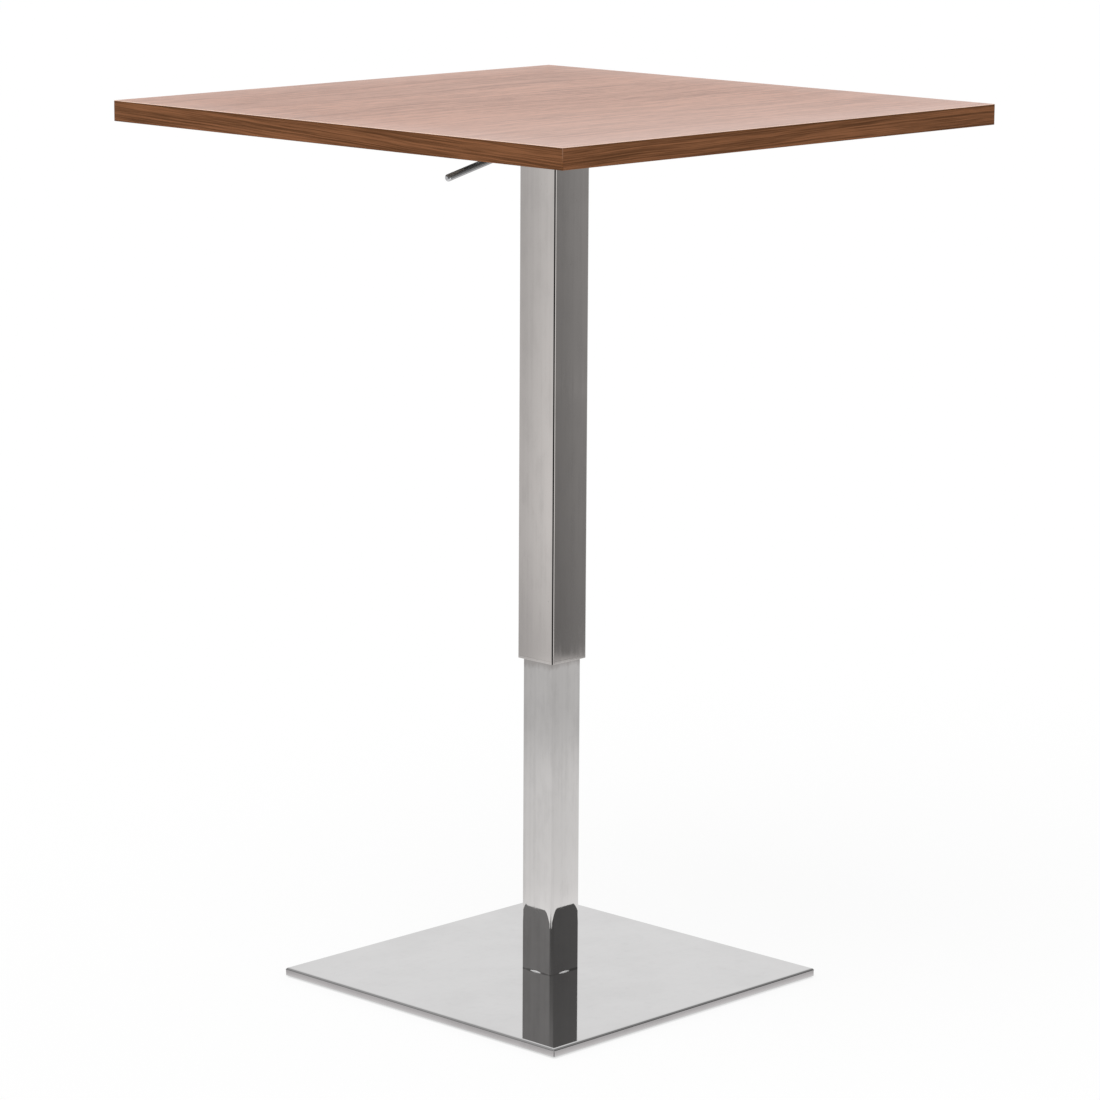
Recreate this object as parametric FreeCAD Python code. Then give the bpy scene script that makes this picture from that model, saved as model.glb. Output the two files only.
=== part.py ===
"""Height-adjustable pedestal table with a square telescoping column and a gas spring.

Millimetres. The origin is on the floor, under the middle of the column, and +Z is up. The release lever
points along -Y, which is the front. The model stands with the column fully out. The sleeve and everything
fixed to it, from the guide collar to the table top, slides down the post by STROKE.
"""

import FreeCAD
import Part
import math
import os

from collections import namedtuple
from FreeCAD import Vector

Screw = namedtuple("Screw", "shank length head head_height")

# Overall sizes
LOWERED_HEIGHT = 735.0  # floor to table surface, column fully in
STROKE = 360.0  # travel of the column
TOP_SIDE = 750.0
TOP_THICKNESS = 25.0
BASE_SIDE = 468.0

# Table top
LAMINATE = 0.8
EDGE_BAND = 1.0
BAND_CORNER = 0.9  # rounding of the four upright corners
BAND_EASE = 0.5  # rounding of the long edges

# Base
PAD_DIAMETER = 40.0
PAD_THICKNESS = 1.5
PAD_EASE = 0.5
PAD_INSET = 42.0  # base edge to pad centre
BALLAST_THICKNESS = 9.3
COVER_SHEET = 1.2
COVER_INNER_BEND = 2.3
COVER_SIDE_GAP = 0.5  # ballast edge to the inside of the skirt
COVER_FLOOR_GAP = 0.3  # skirt edge above the ballast's underside
SEAM_WIDTH = 0.8  # open seam between two folded skirts
SEAM_REACH = 10.0  # how far the seam's cut reaches in from the corner

# Post, the fixed square tube
POST_SIDE = 50.0
POST_WALL = 2.0
POST_CORNER = 2.0
BEAD_LENGTH = 20.0
BEAD_LEG = 1.4
BEAD_SHIFT = 1.0  # middle of each face to the middle of its weld bead
FOOT_BLOCK_HEIGHT = 18.0
FOOT_BLOCK_RECESS = 3.0
BASE_SCREW_HALF = 13.0  # column axis to each base screw, along X and along Y
BASE_SCREW_END_GAP = 1.5  # screw end to the recess in the foot block

# Sleeve, the sliding square tube
GUIDE_SPACE = 3.0  # post outside to sleeve inside
SLEEVE_WALL = 2.0
SLEEVE_CORNER = 2.5
SLEEVE_FLOOR_GAP = 38.0  # base cover to sleeve when lowered
GUIDE_PLAY = 0.3  # each side, between faces that slide
FIT_GAP = 0.1  # each side, between faces that stay put
CAP_FLANGE = 4.0
CAP_SKIRT = 36.0
CAP_CORNER = 1.6
CAP_HOLE_PLAY = 0.2
COLLAR_FLANGE = 3.5
COLLAR_SPIGOT = 45.0
COLLAR_EASE = 0.4

# Gas spring
CYLINDER_DIAMETER = 28.0
CYLINDER_WALL = 2.0
ROD_DIAMETER = 10.0
ROD_PLAY = 0.05  # around the rod
PIN_DIAMETER = 3.0
PIN_PLAY = 0.2  # around the pin in the hollow rod
PIN_EASE = 0.5
PISTON_PLAY = 0.15
RING_PLAY = 0.03
PISTON_HEIGHT = 14.0
RING_HEIGHT = 3.0
RING_DEPTH = 1.8
ROD_GUIDE_HEIGHT = 18.0
WIPER_HEIGHT = 2.0
END_PLUG_HEIGHT = 10.0
STUD_DIAMETER = 8.0
STUD_LENGTH = 12.0
PISTON_GAP = 2.0  # piston to rod guide when raised
PLUG_GAP = 4.0  # piston to end plug when lowered
ROD_END_WALL = 2.0  # closed bottom of the hollow rod
PIN_END_GAP = 4.0  # pin to the closed bottom of the rod
PEDESTAL_DIAMETER = 32.0
PEDESTAL_WALL = 2.0
SEAT_FLANGE = 4.0
LOCK_NUT_HEIGHT = 6.0
LOCK_NUT_FLATS = 17.0
BUMP_DIAMETER = 26.0
BUMP_HEIGHT = 8.0
BUMP_EASE = 2.0
BUMP_CLEARANCE = 2.0  # bump stop to cylinder when lowered
HEAD_CLEARANCE = 22.0  # head block to post when lowered

# Mounting plate and head block
PLATE_SIDE = 260.0
PLATE_THICKNESS = 4.0
PLATE_CORNER = 14.0
PLATE_HOLE_INSET = 16.0
HEAD_FLOOR = 14.0
HEAD_CORNER = 1.2
PLATE_SCREW_HALF = 18.0  # column axis to each plate screw, along X and along Y
SLEEVE_SCREW_HALF = 16.0  # column axis to each sleeve screw, along Y
SLEEVE_SCREW_RISE = 7.0  # above the head block's underside
SLOT_PLAY = 0.3  # each side of the rocker
SLOT_REACH = 6.0  # slot past the column axis

# Release lever
LEVER_DIAMETER = 9.0
LEVER_REACH = 183.0  # column axis to lever tip
LEVER_DROP = 24.0  # table top's underside to lever axis
LEVER_BEND_AT = 53.0  # column axis to the bend
LEVER_DIP = 12.8  # degrees
LEVER_BEND_RADIUS = 40.0
LEVER_TIP_ROUND = 3.0
LEVER_LIFT = 10.0  # degrees
LEVER_SLOT_PLAY = 1.0
SPIGOT_DIAMETER = 6.0
PIVOT_DIAMETER = 6.0
PIVOT_OFFSET = 14.0  # column axis to pivot
PIVOT_PLAY = 0.05
ROCKER_WIDTH = 9.4
ROCKER_HEIGHT = 10.0
ROCKER_END_GAP = 1.8  # inside the head block's face
ROCKER_WEB = 1.5  # between the lever's spigot and the pivot hole
NOSE_RADIUS = 4.0
NOSE_GAP = 0.15  # rocker nose to release pin at rest
PIN_STANDOUT = 4.85

# Fasteners
HOLE_PLAY = 0.1  # around every screw shank
HEAD_PLAY = 0.2  # around a countersunk head
HEAD_SINK = 0.2  # countersunk head below its face
SCREW_END_GAP = 1.0  # past the end of every screw in a blind hole
KEY_SHARE = 0.62  # hex key size as a share of the shank
KEY_DEPTH_SHARE = 0.6  # key depth as a share of the head height
PLATE_SCREW = Screw(6.0, 16.0, 11.6, 3.3)
SLEEVE_SCREW = Screw(5.0, 14.0, 9.5, 2.8)
BOARD_SCREW = Screw(4.5, 18.0, 9.0, 3.0)

# Roundings are kept this much apart, or at least this large
ROUND_MARGIN = 0.1
LEAST_ROUND = 0.4

# Heights that follow from the sizes above
RAISED_HEIGHT = LOWERED_HEIGHT + STROKE
BALLAST_TOP = PAD_THICKNESS + BALLAST_THICKNESS
BASE_TOP = BALLAST_TOP + COVER_SHEET
FOOT_BLOCK_TOP = BASE_TOP + FOOT_BLOCK_HEIGHT
PEDESTAL_UNDER = FOOT_BLOCK_TOP - FOOT_BLOCK_RECESS
BOARD_UNDER = RAISED_HEIGHT - TOP_THICKNESS
PLATE_UNDER = BOARD_UNDER - PLATE_THICKNESS
LEVER_Z = BOARD_UNDER - LEVER_DROP
PIN_TIP = LEVER_Z - ROCKER_HEIGHT / 2 - NOSE_GAP
SLOT_FLOOR = PIN_TIP - PIN_STANDOUT
HEAD_UNDER = SLOT_FLOOR - HEAD_FLOOR
BUMP_UNDER = HEAD_UNDER - LOCK_NUT_HEIGHT - BUMP_HEIGHT
CYLINDER_TOP = BUMP_UNDER - STROKE - BUMP_CLEARANCE
WIPER_UNDER = CYLINDER_TOP - WIPER_HEIGHT
GUIDE_UNDER = WIPER_UNDER - ROD_GUIDE_HEIGHT
PISTON_TOP = GUIDE_UNDER - PISTON_GAP
PISTON_UNDER = PISTON_TOP - PISTON_HEIGHT
RING_UNDER = PISTON_UNDER + (PISTON_HEIGHT - RING_HEIGHT) / 2
PLUG_TOP = PISTON_UNDER - STROKE - PLUG_GAP
CYLINDER_UNDER = PLUG_TOP - END_PLUG_HEIGHT
SEAT_UNDER = CYLINDER_UNDER - SEAT_FLANGE
STUD_UNDER = CYLINDER_UNDER - STUD_LENGTH
POST_TOP = HEAD_UNDER - STROKE - HEAD_CLEARANCE
SLEEVE_UNDER = BASE_TOP + STROKE + SLEEVE_FLOOR_GAP
TUBE_UNDER = SLEEVE_UNDER + COLLAR_FLANGE

# Widths that follow from the sizes above
CORE_SIDE = TOP_SIDE - 2 * EDGE_BAND
COVER_BEND = COVER_SHEET + COVER_INNER_BEND
BALLAST_CORNER = COVER_INNER_BEND + ROUND_MARGIN
POST_INSIDE = POST_SIDE - 2 * POST_WALL
POST_INNER_CORNER = max(POST_CORNER - POST_WALL, LEAST_ROUND)
SLEEVE_INSIDE = POST_SIDE + 2 * GUIDE_SPACE
SLEEVE_SIDE = SLEEVE_INSIDE + 2 * SLEEVE_WALL
SLEEVE_INNER_CORNER = max(SLEEVE_CORNER - SLEEVE_WALL, LEAST_ROUND)
HEAD_SIDE = SLEEVE_INSIDE - 2 * FIT_GAP
PEDESTAL_INSIDE = PEDESTAL_DIAMETER - 2 * PEDESTAL_WALL
CYLINDER_BORE = CYLINDER_DIAMETER - 2 * CYLINDER_WALL
CYLINDER_FILL = CYLINDER_BORE - 2 * FIT_GAP
PISTON_DIAMETER = CYLINDER_BORE - 2 * PISTON_PLAY
GROOVE_DIAMETER = PISTON_DIAMETER - 2 * RING_DEPTH
ROD_HOLE = ROD_DIAMETER + 2 * ROD_PLAY
PIVOT_HOLE = PIVOT_DIAMETER + 2 * PIVOT_PLAY
ROCKER_END = HEAD_SIDE / 2 - ROCKER_END_GAP
SPIGOT_LENGTH = ROCKER_END - PIVOT_OFFSET - PIVOT_HOLE / 2 - ROCKER_WEB

# The base screws are as long as the base and the foot block allow
BASE_SCREW_FACE = PAD_THICKNESS + HEAD_SINK
BASE_SCREW = Screw(8.0, PEDESTAL_UNDER - BASE_SCREW_END_GAP - BASE_SCREW_FACE, 16.0, 4.4)

CORNERS = [(x, y) for x in (-1, 1) for y in (-1, 1)]
EDGE_SIDES = {"front": (0, -1), "rear": (0, 1), "left": (-1, 0), "right": (1, 0)}
X_AXIS = Vector(1, 0, 0)
Y_AXIS = Vector(0, 1, 0)
Z_AXIS = Vector(0, 0, 1)


# Shapes used by many parts


def prism(side_x, side_y, low, high, corner=0.0, x=0.0, y=0.0):
    """An upright block centred on (x, y), with its four upright edges rounded."""
    block = Part.makeBox(side_x, side_y, high - low, Vector(x - side_x / 2, y - side_y / 2, low))
    if corner <= 0:
        return block
    upright = [e for e in block.Edges if e.BoundBox.ZLength > e.BoundBox.DiagonalLength / 2]
    return block.makeFillet(corner, upright)


def square(side, low, high, corner=0.0):
    return prism(side, side, low, high, corner)


def disc(diameter, low, high, x=0.0, y=0.0):
    """An upright round bar."""
    return Part.makeCylinder(diameter / 2, high - low, Vector(x, y, low))


def cross_bar(diameter, half_length, y, z):
    """A round bar along X, centred on x = 0."""
    return Part.makeCylinder(diameter / 2, 2 * half_length, Vector(-half_length, y, z), X_AXIS)


def ring(outer, inner, low, high):
    return disc(outer, low, high).cut(disc(inner, low - 1, high + 1))


def square_tube(side, wall, corner, inner_corner, low, high):
    return square(side, low, high, corner).cut(square(side - 2 * wall, low - 1, high + 1, inner_corner))


def outline_edges(shape, height):
    """The edges that lie flat at one height."""
    return [e for e in shape.Edges if e.BoundBox.ZMax < height + 0.01 and e.BoundBox.ZMin > height - 0.01]


def folded_slab(side, low, high, bend):
    """A square slab whose rounded top edges meet in a mitre above each sharp upright corner."""
    slab = square(side, low, high)
    along_x = [e for e in outline_edges(slab, high) if e.BoundBox.XLength > side / 2]
    bar = slab.makeFillet(bend, along_x)
    return bar.common(turned(bar, 90, Z_AXIS))


def turned(shape, angle, axis):
    """A copy turned about an axis through the origin, in degrees."""
    copy = shape.copy()
    copy.rotate(Vector(0, 0, 0), axis, angle)
    return copy


def placed(shape, x, y, z):
    copy = shape.copy()
    copy.translate(Vector(x, y, z))
    return copy


def copies(shape, spots, z):
    return Part.makeCompound([placed(shape, x, y, z) for x, y in spots])


def corner_spots(reach):
    return [(x * reach, y * reach) for x, y in CORNERS]


# Screws and their holes. Each is made with its seat at z = 0 and its shank pointing down.


def hex_bar(flats, low, high):
    radius = flats / math.sqrt(3)
    angles = [math.radians(60 * i) for i in range(7)]
    outline = Part.makePolygon([Vector(radius * math.cos(a), radius * math.sin(a), low) for a in angles])
    return Part.Face(outline).extrude(Vector(0, 0, high - low))


def key_socket(screw, top):
    return hex_bar(screw.shank * KEY_SHARE, top - screw.head_height * KEY_DEPTH_SHARE, top + 1)


def button_screw(screw):
    dome_radius = ((screw.head / 2) ** 2 + screw.head_height**2) / (2 * screw.head_height)
    ball = Part.makeSphere(dome_radius, Vector(0, 0, screw.head_height - dome_radius))
    dome = ball.common(disc(2 * dome_radius, 0, screw.head_height))
    body = dome.fuse(disc(screw.shank, -screw.length, screw.head_height / 2))
    return body.cut(key_socket(screw, screw.head_height))


def button_hole(screw):
    return disc(screw.shank + 2 * HOLE_PLAY, -screw.length - SCREW_END_GAP, 1)


def countersunk_screw(screw):
    cone = Part.makeCone(screw.head / 2, screw.shank / 2, screw.head_height, Vector(0, 0, 0), -Z_AXIS)
    body = cone.fuse(disc(screw.shank, -screw.length, 0)).removeSplitter()
    return body.cut(key_socket(screw, 0))


def countersunk_hole(screw):
    """For a screw whose head ends HEAD_SINK under the face at z = 0."""
    wide = screw.head / 2 + HEAD_PLAY
    narrow = screw.shank / 2 + HEAD_PLAY
    cone = Part.makeCone(wide, narrow, screw.head_height, Vector(0, 0, -HEAD_SINK), -Z_AXIS)
    return cone.fuse(disc(2 * wide, -HEAD_SINK, 1)).fuse(button_hole(screw))


def base_screw_holes():
    """Through the ballast plate and the cover, and up into the foot block."""
    hole = turned(countersunk_hole(BASE_SCREW), 180, X_AXIS)
    return copies(hole, corner_spots(BASE_SCREW_HALF), PAD_THICKNESS)


def plate_screw_holes():
    """Through the mounting plate, and down into the head block."""
    return copies(countersunk_hole(PLATE_SCREW), corner_spots(PLATE_SCREW_HALF), BOARD_UNDER)


def board_screw_spots():
    reach = PLATE_SIDE / 2 - PLATE_HOLE_INSET
    grid = [(x * reach, y * reach) for x in (-1, 0, 1) for y in (-1, 0, 1)]
    return [spot for spot in grid if spot != (0, 0)]


def board_screw_holes():
    """Through the mounting plate, and up into the table top."""
    return copies(turned(button_hole(BOARD_SCREW), 180, X_AXIS), board_screw_spots(), PLATE_UNDER)


def at_sleeve_screws(shape):
    """Copies of a shape, each seated on the sleeve's left or right face and pointing in."""
    height = HEAD_UNDER + SLEEVE_SCREW_RISE
    placed_copies = []
    for side, along in CORNERS:
        aimed = turned(shape, 90 * side, Y_AXIS)
        placed_copies.append(placed(aimed, side * SLEEVE_SIDE / 2, along * SLEEVE_SCREW_HALF, height))
    return Part.makeCompound(placed_copies)


# Pedestal: everything that stays on the floor


def foot_pads():
    pad = disc(PAD_DIAMETER, 0, PAD_THICKNESS)
    pad = pad.makeFillet(PAD_EASE, outline_edges(pad, 0))
    return copies(pad, corner_spots(BASE_SIDE / 2 - PAD_INSET), 0)


def ballast_plate():
    """Its top edges are rounded to clear the bends of the cover."""
    side = BASE_SIDE - 2 * (COVER_SHEET + COVER_SIDE_GAP)
    plate = square(side, PAD_THICKNESS, BALLAST_TOP, BALLAST_CORNER)
    plate = plate.makeFillet(COVER_INNER_BEND, outline_edges(plate, BALLAST_TOP))
    return plate.cut(base_screw_holes())


def base_cover():
    """A sheet folded down on four sides, with an open seam at each corner."""
    low = PAD_THICKNESS + COVER_FLOOR_GAP
    cover = folded_slab(BASE_SIDE, low, BASE_TOP, COVER_BEND)
    cover = cover.cut(folded_slab(BASE_SIDE - 2 * COVER_SHEET, low - 1, BALLAST_TOP, COVER_INNER_BEND))
    corner_x = BASE_SIDE / math.sqrt(2)
    seam = prism(2 * SEAM_REACH, SEAM_WIDTH, low - 1, BASE_TOP - COVER_BEND, 0, corner_x, 0)
    for quarter in range(4):
        cover = cover.cut(turned(seam, 45 + 90 * quarter, Z_AXIS))
    return cover.cut(base_screw_holes())


def base_screws():
    screw = turned(countersunk_screw(BASE_SCREW), 180, X_AXIS)
    return copies(screw, corner_spots(BASE_SCREW_HALF), BASE_SCREW_FACE)


def foot_block():
    """Fixed in the post's foot. The base screws draw it down, and the spring's pedestal stands in it."""
    block = square(POST_INSIDE - 2 * FIT_GAP, BASE_TOP, FOOT_BLOCK_TOP, POST_INNER_CORNER + FIT_GAP)
    outer = PEDESTAL_DIAMETER + 2 * FIT_GAP
    inner = PEDESTAL_INSIDE - 2 * FIT_GAP
    return block.cut(ring(outer, inner, PEDESTAL_UNDER, FOOT_BLOCK_TOP + 1)).cut(base_screw_holes())


def weld_bead():
    """Runs along the foot of the post's right face and tapers to both ends."""
    face = POST_SIDE / 2
    start = Vector(face, -BEAD_SHIFT - BEAD_LENGTH / 2, BASE_TOP)
    crown = Vector(face + BEAD_LEG, -BEAD_SHIFT, BASE_TOP)
    end = Vector(face, -BEAD_SHIFT + BEAD_LENGTH / 2, BASE_TOP)
    outline = Part.Wire([Part.Arc(start, crown, end).toShape(), Part.LineSegment(end, start).toShape()])
    return Part.Face(outline).revolve(start, Y_AXIS, -90)


def inner_tube():
    """The post, with a short weld bead along the foot of each face."""
    tube = square_tube(POST_SIDE, POST_WALL, POST_CORNER, POST_INNER_CORNER, BASE_TOP, POST_TOP)
    for quarter in range(4):
        tube = tube.fuse(turned(weld_bead(), 90 * quarter, Z_AXIS))
    return tube.removeSplitter()


def upper_guide_cap():
    """Sits on the post, slides inside the sleeve, and steadies the gas spring."""
    skirt_under = POST_TOP - CAP_SKIRT
    flange_top = POST_TOP + CAP_FLANGE
    cap = square(SLEEVE_INSIDE - 2 * GUIDE_PLAY, skirt_under, flange_top, CAP_CORNER)
    cap = cap.cut(square(POST_SIDE + 2 * FIT_GAP, skirt_under - 1, POST_TOP, POST_CORNER))
    return cap.cut(disc(CYLINDER_DIAMETER + 2 * CAP_HOLE_PLAY, POST_TOP - 1, flange_top + 1))


def spring_pedestal():
    return ring(PEDESTAL_DIAMETER, PEDESTAL_INSIDE, PEDESTAL_UNDER, SEAT_UNDER)


def spring_seat():
    """Plugs the pedestal and takes the gas spring's stud."""
    seat = disc(PEDESTAL_DIAMETER, SEAT_UNDER, CYLINDER_UNDER)
    seat = seat.fuse(disc(PEDESTAL_INSIDE - 2 * FIT_GAP, STUD_UNDER, SEAT_UNDER)).removeSplitter()
    return seat.cut(disc(STUD_DIAMETER + 2 * HOLE_PLAY, STUD_UNDER - 1, CYLINDER_UNDER + 1))


def gas_cylinder():
    return ring(CYLINDER_DIAMETER, CYLINDER_BORE, CYLINDER_UNDER, CYLINDER_TOP)


def cylinder_end_plug():
    plug = disc(CYLINDER_FILL, CYLINDER_UNDER, PLUG_TOP)
    return plug.fuse(disc(STUD_DIAMETER, STUD_UNDER, CYLINDER_UNDER)).removeSplitter()


def rod_guide():
    return ring(CYLINDER_FILL, ROD_HOLE, GUIDE_UNDER, WIPER_UNDER)


def rod_wiper():
    return ring(CYLINDER_FILL, ROD_HOLE, WIPER_UNDER, CYLINDER_TOP)


# Table top


def table_top_core():
    return square(CORE_SIDE, BOARD_UNDER + LAMINATE, RAISED_HEIGHT - LAMINATE).cut(board_screw_holes())


def top_laminate():
    return square(CORE_SIDE, RAISED_HEIGHT - LAMINATE, RAISED_HEIGHT)


def underside_laminate():
    return square(CORE_SIDE, BOARD_UNDER, BOARD_UNDER + LAMINATE).cut(board_screw_holes())


def edge_band(side_x, side_y):
    """One strip of the edge. The front and rear strips cover the ends of the left and right ones."""
    frame = square(TOP_SIDE, BOARD_UNDER, RAISED_HEIGHT, BAND_CORNER)
    long_edges = outline_edges(frame, RAISED_HEIGHT) + outline_edges(frame, BOARD_UNDER)
    middle = TOP_SIDE / 2 - EDGE_BAND / 2
    width_x = EDGE_BAND if side_x else TOP_SIDE
    width_y = EDGE_BAND if side_y else CORE_SIDE
    strip = prism(width_x, width_y, BOARD_UNDER, RAISED_HEIGHT, 0, side_x * middle, side_y * middle)
    return frame.makeFillet(BAND_EASE, long_edges).common(strip)


# Head: what joins the table top to the sleeve and to the gas spring's rod


def mounting_plate():
    plate = square(PLATE_SIDE, PLATE_UNDER, BOARD_UNDER, PLATE_CORNER)
    return plate.cut(board_screw_holes()).cut(plate_screw_holes())


def board_screws():
    return copies(turned(button_screw(BOARD_SCREW), 180, X_AXIS), board_screw_spots(), PLATE_UNDER)


def plate_screws():
    return copies(countersunk_screw(PLATE_SCREW), corner_spots(PLATE_SCREW_HALF), BOARD_UNDER - HEAD_SINK)


def sleeve_screws():
    return at_sleeve_screws(button_screw(SLEEVE_SCREW))


def head_block():
    """Fills the sleeve's top. The spring's rod screws into its floor, and the rocker works in its slot."""
    block = square(HEAD_SIDE, HEAD_UNDER, PLATE_UNDER, HEAD_CORNER)
    slot_length = SLOT_REACH + HEAD_SIDE / 2 + 1
    slot_middle = SLOT_REACH - slot_length / 2
    slot = prism(ROCKER_WIDTH + 2 * SLOT_PLAY, slot_length, SLOT_FLOOR, PLATE_UNDER + 1, 0, 0, slot_middle)
    block = block.cut(slot).cut(disc(ROD_HOLE, HEAD_UNDER - 1, SLOT_FLOOR + 1))
    block = block.cut(cross_bar(PIVOT_HOLE, HEAD_SIDE, -PIVOT_OFFSET, LEVER_Z))
    return block.cut(plate_screw_holes()).cut(at_sleeve_screws(button_hole(SLEEVE_SCREW)))


def pivot_pin():
    """The lever's pivot, held in by the sleeve's walls."""
    return cross_bar(PIVOT_DIAMETER, HEAD_SIDE / 2, -PIVOT_OFFSET, LEVER_Z)


# Sleeve


def lever_slot():
    """A round-ended slot through the sleeve's front wall, tall enough for the lever's lift."""
    rise = (SLEEVE_SIDE / 2 - PIVOT_OFFSET) * math.tan(math.radians(LEVER_LIFT))
    radius = LEVER_DIAMETER / 2 + LEVER_SLOT_PLAY
    outside = -SLEEVE_SIDE / 2 - 1
    depth = SLEEVE_WALL + 2
    slot = Part.makeBox(2 * radius, depth, rise, Vector(-radius, outside, LEVER_Z))
    for height in (LEVER_Z, LEVER_Z + rise):
        slot = slot.fuse(Part.makeCylinder(radius, depth, Vector(0, outside, height), Y_AXIS))
    return slot.removeSplitter()


def outer_tube():
    tube = square_tube(SLEEVE_SIDE, SLEEVE_WALL, SLEEVE_CORNER, SLEEVE_INNER_CORNER, TUBE_UNDER, PLATE_UNDER)
    return tube.cut(lever_slot()).cut(at_sleeve_screws(button_hole(SLEEVE_SCREW)))


def lower_guide_collar():
    """Plugs the sleeve's foot and slides on the post. Its flange is flush and ends the sleeve."""
    flange = square(SLEEVE_SIDE, SLEEVE_UNDER, TUBE_UNDER, SLEEVE_CORNER)
    rims = outline_edges(flange, SLEEVE_UNDER) + outline_edges(flange, TUBE_UNDER)
    spigot_top = TUBE_UNDER + COLLAR_SPIGOT
    spigot = square(SLEEVE_INSIDE - 2 * FIT_GAP, TUBE_UNDER - 1, spigot_top, CAP_CORNER)
    hole = square(POST_SIDE + 2 * GUIDE_PLAY, SLEEVE_UNDER - 1, spigot_top + 1, POST_CORNER)
    return flange.makeFillet(COLLAR_EASE, rims).fuse(spigot).cut(hole)


# Moving parts of the gas spring


def piston_rod():
    """Hollow, for the release pin, and closed at the piston."""
    bore = disc(PIN_DIAMETER + 2 * PIN_PLAY, PISTON_UNDER + ROD_END_WALL, SLOT_FLOOR + 1)
    return disc(ROD_DIAMETER, PISTON_UNDER, SLOT_FLOOR).cut(bore)


def piston():
    groove = ring(PISTON_DIAMETER + 2, GROOVE_DIAMETER, RING_UNDER, RING_UNDER + RING_HEIGHT)
    return ring(PISTON_DIAMETER, ROD_HOLE, PISTON_UNDER, PISTON_TOP).cut(groove)


def piston_ring():
    outer = CYLINDER_BORE - 2 * RING_PLAY
    inner = GROOVE_DIAMETER + 2 * RING_PLAY
    return ring(outer, inner, RING_UNDER, RING_UNDER + RING_HEIGHT)


def rod_lock_nut():
    low = HEAD_UNDER - LOCK_NUT_HEIGHT
    return hex_bar(LOCK_NUT_FLATS, low, HEAD_UNDER).cut(disc(ROD_HOLE, low - 1, HEAD_UNDER + 1))


def bump_stop():
    """A rubber ring under the lock nut, which meets the gas spring before metal meets metal."""
    top = BUMP_UNDER + BUMP_HEIGHT
    buffer = disc(BUMP_DIAMETER, BUMP_UNDER, top)
    buffer = buffer.makeFillet(BUMP_EASE, outline_edges(buffer, BUMP_UNDER))
    return buffer.cut(disc(ROD_HOLE, BUMP_UNDER - 1, top + 1))


def release_pin():
    """Slides in the hollow rod. Pressed down, it opens the gas spring's valve."""
    pin = disc(PIN_DIAMETER, PISTON_UNDER + ROD_END_WALL + PIN_END_GAP, PIN_TIP)
    return pin.makeFillet(PIN_EASE, outline_edges(pin, PIN_TIP))


# Lever: the bent rod and the rocker that it plugs into


def release_lever():
    """A round rod, level out of the rocker and then dipping to its rounded tip."""
    dip = math.radians(LEVER_DIP)
    radius = LEVER_BEND_RADIUS
    bend_y = -LEVER_BEND_AT + radius * math.tan(dip / 2)

    def on_bend(angle):
        return Vector(0, bend_y - radius * math.sin(angle), LEVER_Z - radius * (1 - math.cos(angle)))

    start = Vector(0, -ROCKER_END, LEVER_Z)
    tip = Vector(0, -LEVER_REACH, LEVER_Z - (LEVER_REACH - LEVER_BEND_AT) * math.tan(dip))
    level = Part.LineSegment(start, on_bend(0)).toShape()
    bend = Part.Arc(on_bend(0), on_bend(dip / 2), on_bend(dip)).toShape()
    dipping = Part.LineSegment(on_bend(dip), tip).toShape()
    section = Part.Wire([Part.Circle(start, Y_AXIS, LEVER_DIAMETER / 2).toShape()])
    bar = Part.Wire([level, bend, dipping]).makePipeShell([section], True, False)
    tip_rim = [e for e in bar.Edges if (e.CenterOfMass - tip).Length < LEVER_DIAMETER / 10]
    bar = bar.makeFillet(LEVER_TIP_ROUND, tip_rim)
    return bar.fuse(Part.makeCylinder(SPIGOT_DIAMETER / 2, SPIGOT_LENGTH, start, Y_AXIS))


def rocker():
    """Pivots in the head block. Its round nose presses the release pin when the lever is lifted."""
    half = ROCKER_HEIGHT / 2
    low_back = Vector(0, -ROCKER_END, -half)
    low_nose = Vector(0, 0, -half)
    nose_tip = Vector(0, NOSE_RADIUS, NOSE_RADIUS - half)
    high_nose = Vector(0, 0, 2 * NOSE_RADIUS - half)
    shoulder = Vector(0, -PIVOT_OFFSET / 2, half)
    high_back = Vector(0, -ROCKER_END, half)
    outline = Part.Wire([
        Part.LineSegment(low_back, low_nose).toShape(),
        Part.Arc(low_nose, nose_tip, high_nose).toShape(),
        Part.LineSegment(high_nose, shoulder).toShape(),
        Part.LineSegment(shoulder, high_back).toShape(),
        Part.LineSegment(high_back, low_back).toShape(),
    ])
    body = placed(Part.Face(outline).extrude(Vector(ROCKER_WIDTH, 0, 0)), -ROCKER_WIDTH / 2, 0, LEVER_Z)
    body = body.cut(cross_bar(PIVOT_HOLE, ROCKER_WIDTH, -PIVOT_OFFSET, LEVER_Z))
    socket_start = Vector(0, -ROCKER_END - 1, LEVER_Z)
    socket_radius = SPIGOT_DIAMETER / 2 + PIVOT_PLAY
    return body.cut(Part.makeCylinder(socket_radius, SPIGOT_LENGTH + 1, socket_start, Y_AXIS))


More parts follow.
